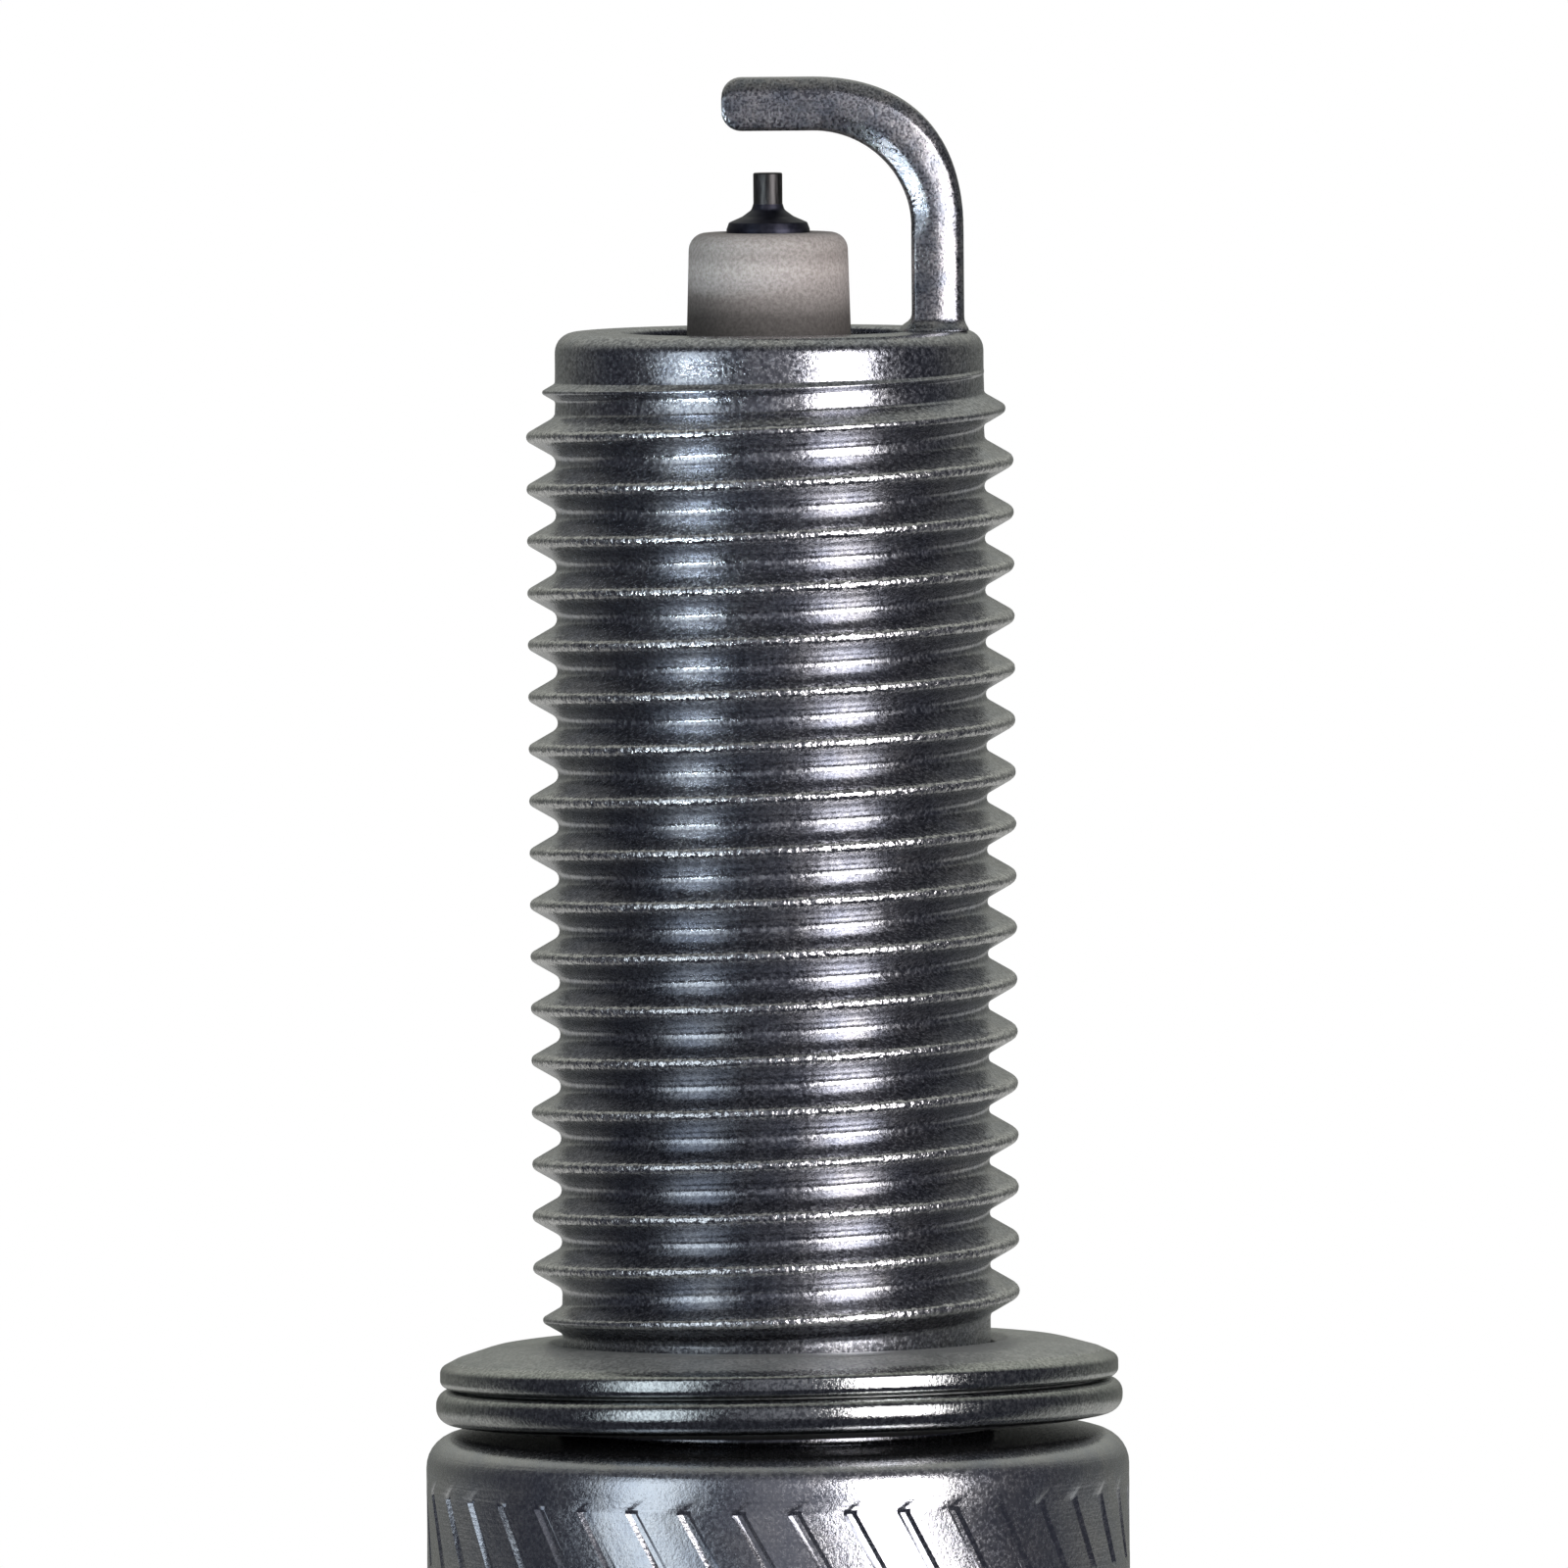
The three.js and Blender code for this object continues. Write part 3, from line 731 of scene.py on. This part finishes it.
def make_wire(material):
    """The fine wire on the centre electrode's end."""
    radius, low, top = WIRE_HIGH.x, ELECTRODE_HIGH.z + 0.002, WIRE_HIGH.z
    outline = [(0, low, 0), (radius, low, 0), (radius, top, 0.04), (0, top, 0)]
    piece = turned("iridium_wire", outline, material, around=48)
    return carry(piece, "plug", "iridium", "iridium_tip")


def make_ground_electrode(material):
    """The J-shaped strap: a rounded bar swept up the leg, round the bend and over the gap."""
    thickness, tip_corner, bend_inner = 1.25, 0.48, 2.36
    half = thickness / 2
    width = STRAP_HIGH.y - STRAP_LOW.y
    centre = Vector((STRAP_HIGH.x - thickness - bend_inner, STRAP_HIGH.z - thickness - bend_inner))
    middle = bend_inner + half
    foot = REACH + 0.005
    flash_height, flash_size = 0.16, 0.26  # the weld flash round the foot

    stations = []  # (point on the middle line, turn from upright, how much thinner)
    leg_steps, bend_steps, arm_steps, tip_steps = 24, 32, 12, 8
    leg = centre.y - foot
    for k in range(leg_steps + 1):
        up = leg * (k / leg_steps) ** 1.3
        stations.append((Vector((centre.x + middle, foot + up)), 0.0, 0.0))
    for k in range(1, bend_steps + 1):
        a = math.pi / 2 * k / bend_steps
        stations.append((centre + middle * Vector((math.cos(a), math.sin(a))), a, 0.0))
    arm = centre.x - tip_corner - STRAP_LOW.x
    for k in range(1, arm_steps + 1):
        point = Vector((centre.x - arm * k / arm_steps, centre.y + middle))
        stations.append((point, math.pi / 2, 0.0))
    arm_end = stations[-1][0]
    for k in range(1, tip_steps + 1):
        a = math.pi / 2 * k / tip_steps
        end = arm_end - Vector((tip_corner * math.sin(a), 0))
        stations.append((end, math.pi / 2, tip_corner * (1 - math.cos(a))))

    def section(p, a, shrink):
        """The bar's outline as (across the thickness, across the width) points. Its long edges
        are worn to flats: the outer ones everywhere, the inner ones where the bend pinched them."""
        w, t = width / 2 - shrink * 0.08, half - shrink
        size = t / half
        pinched = min(max((p.y - centre.y) / 0.8 + 0.5, 0), 1) * max(math.cos(a), 0) ** 0.5
        worn = min(max(1.3 - 1.7 * a, 0), 1)
        outer = t + 0.15 * math.sin(2 * a) ** 2
        edge, side = w - size * (0.26 + 0.14 * worn), w - size * (0.05 + 0.08 * worn)
        shoulder = outer - size * (0.28 - 0.15 * worn)
        right = [
            (outer, 0, 0),
            (outer, edge, size * (0.1 + 0.18 * worn)),
            (shoulder, side, size * (0.2 + 0.1 * worn)),
            (0.06 * size, w, 0.8 * size),
            (0.44 * size - t, w, 0.2 * size),
            (0.08 * size - t, w - size * (0.02 + 0.13 * pinched), 0.08 * size),
            (-t, w - size * (0.1 + 0.2 * pinched), 0.08 * size),
        ]
        left = [(across, -y, r) for across, y, r in reversed(right[1:])]
        return fillet([*right, (-t, 0, 0), *left], closed=True)

    points, faces = [], []
    for p, a, shrink in stations:
        outward = Vector((math.cos(a), math.sin(a)))
        flash = flash_size * math.exp(-(((p.y - foot) / flash_height) ** 2))
        for across, y in section(p, a, shrink):
            uneven = 1 + 0.5 * noise.noise(Vector((across, y, 0)) * 2)
            grown = across + flash * uneven * (across / half) * (0.35 if across > 0 else 1)
            q = p + outward * grown
            points.append((q.x, y + flash * uneven * y / (width / 2), q.y))
    count = len(points) // len(stations)
    for k in range(len(stations) - 1):
        for i in range(count):
            n = (i + 1) % count
            low, high = k * count, (k + 1) * count
            faces.append((low + i, low + n, high + n, high + i))
    faces.append(tuple(reversed(range(count))))
    faces.append(tuple(range(len(points) - count, len(points))))
    piece = mesh_piece("ground_strap", points, faces, material, smooth_angle=40)
    return carry(piece, "plug", "nickel_alloy", "ground_electrode")


def make_stud(material):
    """M4 thread, flange on the insulator, shaft and knurled end."""
    root, first = STUD_THREAD["root"], STUD_THREAD["first"]
    flange, shaft, knurl, knurl_foot = 3.0, 1.8, 1.45, 1.3
    knurl_bottom, knurl_pitch = -12.7, 0.7
    flange_top = INSULATOR_LOW.z - 0.05
    flange_bottom = flange_top - 1
    skin = Skin(96)
    low = STUD_LOW.z
    skin.ring(root - 0.25, low)
    skin.cap(low, top=False)
    skin.ring(root, low + 0.25)
    skin.ring(root, first - 0.42)
    skin.wind(STUD_THREAD)
    skin.ring_over_thread(root, first + 6.3)
    rings = []
    for k in range(5):
        z = knurl_bottom + knurl_pitch * k
        rings += [(knurl_foot, z, 0.05), (knurl, z + 0.2, 0.05), (knurl, z + 0.5, 0.05)]
    skin.profile(
        fillet(
            [
                (root, flange_bottom - 0.02, 0),
                (root, flange_bottom, 0),
                (flange, flange_bottom, 0.15),
                (flange, flange_top, 0.1),
                (shaft, flange_top, 0.05),
                (shaft, -13, 0.1),
                *rings,
                (1.25, STUD_HIGH.z, 0),
            ]
        )
    )
    skin.cap(STUD_HIGH.z, top=True)
    piece = mesh_piece("terminal_stud_rod", skin.points, skin.faces, material)
    return carry(piece, "plug", "stud_steel", "terminal_stud")


def make_nut(material):
    """The waisted nut that a plug cap snaps over."""
    radius, waist, bore = NUT_HIGH.x, 2.62, 2.06
    low, top = NUT_LOW.z, NUT_HIGH.z
    waist_low, waist_high = -46.1, -44.9
    outline = [
        (bore, low + 0.25, 0.03),
        (bore + 0.25, low, 0.03),
        (radius - 0.65, low, 0.2),
        (radius, low + 0.8, 0.5),
        (radius, waist_low - 0.8, 0.3),
        (waist, waist_low, 0.5),
        (waist, waist_high, 0.4),
        (radius, waist_high + 0.6, 0.25),
        (radius, top, 0.25),
        (bore + 0.2, top, 0.03),
        (bore, top - 0.2, 0.03),
    ]
    piece = turned("terminal_nut_cap", outline, material, around=128)
    return carry(piece, "terminal_nut", "nickel_plated_steel", "terminal_nut")


# ---------------------------------------------------------------- the camera


def make_camera():
    distance, elevation, lean = 0.6, math.radians(3.0), math.radians(0.45)
    target = Vector((0.277, 0, 15.6)) * MM
    away = Vector((0, -math.cos(elevation), math.sin(elevation)))
    camera = bpy.data.objects.new("camera", bpy.data.cameras.new("camera"))
    bpy.context.scene.collection.objects.link(camera)
    camera.data.sensor_width = 36
    camera.data.lens = 573
    camera.data.clip_start = 0.1
    camera.location = target + away * distance
    look = (-away).to_track_quat("-Z", "Y").to_matrix()
    camera.rotation_euler = (look @ Matrix.Rotation(-lean, 3, "Z")).to_euler()
    bpy.context.scene.camera = camera


# ---------------------------------------------------------------- the studio


def softbox(name, azimuth, elevation, distance, width, height, power, colour, aim_height=12):
    """An area light that faces a point on the axis. Azimuth 0 is the camera's side."""
    aim = Vector((0, 0, aim_height)) * MM
    a, e = math.radians(azimuth), math.radians(elevation)
    away = Vector((math.sin(a) * math.cos(e), -math.cos(a) * math.cos(e), math.sin(e)))
    light = bpy.data.lights.new(name, "AREA")
    light.shape = "RECTANGLE"
    light.size, light.size_y = width, height
    light.energy = power
    light.color = colour
    lamp = bpy.data.objects.new(name, light)
    bpy.context.scene.collection.objects.link(lamp)
    lamp.location = aim + away * distance
    lamp.rotation_euler = (-away).to_track_quat("-Z", "Y").to_euler()
    lamp.visible_camera = False
    return light


def make_world():
    """White to the eye. Where the metal mirrors it, the room is dim, with a pale ceiling and a
    pale table behind."""
    world = bpy.data.worlds.new("studio")
    bpy.context.scene.world = world
    world.use_nodes = True
    tree = world.node_tree
    path = tree.nodes.new("ShaderNodeLightPath")
    direction = tree.nodes.new("ShaderNodeTexCoord")
    split = tree.nodes.new("ShaderNodeSeparateXYZ")
    tree.links.new(direction.outputs["Generated"], split.inputs["Vector"])

    def rising(source, start, end):
        """A value that rises from 0 to 1 as the source goes from start to end."""
        node = tree.nodes.new("ShaderNodeMapRange")
        node.inputs["From Min"].default_value = start
        node.inputs["From Max"].default_value = end
        tree.links.new(source, node.inputs["Value"])
        return node.outputs["Result"]

    def mixed(share, first, second):
        node = tree.nodes.new("ShaderNodeMix")
        node.data_type = "RGBA"
        tree.links.new(share, node.inputs["Factor"])
        for socket, value in ((node.inputs[6], first), (node.inputs[7], second)):
            if isinstance(value, tuple):
                socket.default_value = (*value, 1)
            else:
                tree.links.new(value, socket)
        return node.outputs[2]

    front_wall, back_wall = (0.04, 0.042, 0.056), (0.18, 0.185, 0.17)
    walls = mixed(rising(split.outputs["Y"], 0.2, 0.9), front_wall, back_wall)
    table = tree.nodes.new("ShaderNodeMath")
    table.operation = "MULTIPLY"
    tree.links.new(rising(split.outputs["Z"], -0.09, -0.2), table.inputs[0])
    tree.links.new(rising(split.outputs["Y"], 0.1, 0.6), table.inputs[1])
    lower_room = mixed(table.outputs["Value"], walls, (0.5, 0.5, 0.48))
    ceiling = tree.nodes.new("ShaderNodeVectorMath")
    ceiling.operation = "DOT_PRODUCT"
    ceiling.inputs[1].default_value = (0, 0.5, 0.866)  # its middle is up and to the back
    tree.links.new(direction.outputs["Generated"], ceiling.inputs[0])
    room = mixed(rising(ceiling.outputs["Value"], 0.5, 0.85), lower_room, (0.5, 0.51, 0.46))
    seen = mixed(path.outputs["Is Glossy Ray"], (1.0, 1.0, 1.0), room)
    lit = mixed(path.outputs["Is Diffuse Ray"], seen, (0.3, 0.3, 0.3))
    tree.links.new(lit, tree.nodes["Background"].inputs["Color"])


def make_floor():
    """A round pale floor, low enough for the terminal nut to come off above it."""
    shader = Shader("pale_floor", Roughness=0.8, Emission_Color=(1, 1, 1, 1), Emission_Strength=0.45)
    clouds = shader.noise((0.02, 0.02, 0.02))
    pale = shader.colours(clouds, (0.3, (0.86, 0.86, 0.86)), (0.7, (0.9, 0.9, 0.9)))
    shader.set("Base Color", pale)
    radius, around = 500, 96
    floor_height = NUT_LOW.z - 6.5
    points = []
    for i in range(around):
        a = 2 * math.pi * i / around
        points.append((radius * math.cos(a), radius * math.sin(a), floor_height))
    floor = mesh_piece("floor", points, [tuple(range(around))], shader.material)
    floor.visible_glossy = False
    floor.visible_diffuse = False


# ---------------------------------------------------------------- assembly

make_camera()

steel = plated_steel()
make_shell(steel)
make_nut(steel)
make_gasket(gasket_steel())
make_insulator(ceramic())
make_ground_electrode(nickel_alloy())
make_centre_electrode(dark_nickel())
make_wire(iridium())
make_stud(plain("stud_steel", (0.40, 0.40, 0.41), (0.55, 0.55, 0.56), 0.35, metallic=1.0))

packing_steel = plain("packing_steel", (0.35, 0.35, 0.36), (0.5, 0.5, 0.5), 0.4, metallic=1.0)
glass = plain("conductive_glass", (0.10, 0.08, 0.06), (0.22, 0.18, 0.15), 0.3)
inside = {
    "copper_core": plain("copper", (0.62, 0.30, 0.18), (0.80, 0.46, 0.32), 0.35, metallic=1.0),
    "seat_packing_washer": packing_steel,
    "packing_ring_lower": packing_steel,
    "packing_ring_upper": packing_steel,
    "talc_packing": plain("talc", (0.70, 0.68, 0.64), (0.84, 0.82, 0.78), 0.85),
    "glass_seal_lower": glass,
    "glass_seal_upper": glass,
    "resistor": plain("resistor_mix", (0.02, 0.02, 0.02), (0.06, 0.055, 0.05), 0.7),
}
for node, material in inside.items():
    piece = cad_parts[node]
    piece.data.materials.clear()
    piece.data.materials.append(material)

softbox("right_softbox", 39.6, 8, 0.6, 0.27, 0.46, 3.9, (1.0, 0.96, 0.97))
softbox("left_softbox", -44, 8, 0.6, 0.28, 0.56, 0.83, (0.82, 0.92, 1.0))
softbox("front_softbox", 2, 12, 0.7, 0.4, 0.8, 0.17, (0.86, 0.88, 1.0))
spot_colour, strap_height = (0.8, 0.92, 1.0), 31
strap_spot = softbox("strap_spot", -40, -19, 0.15, 0.02, 0.015, 0.0007, spot_colour, strap_height)
strap_spot.spread = math.radians(12)
make_world()
make_floor()

bpy.context.scene.view_settings.view_transform = "Standard"
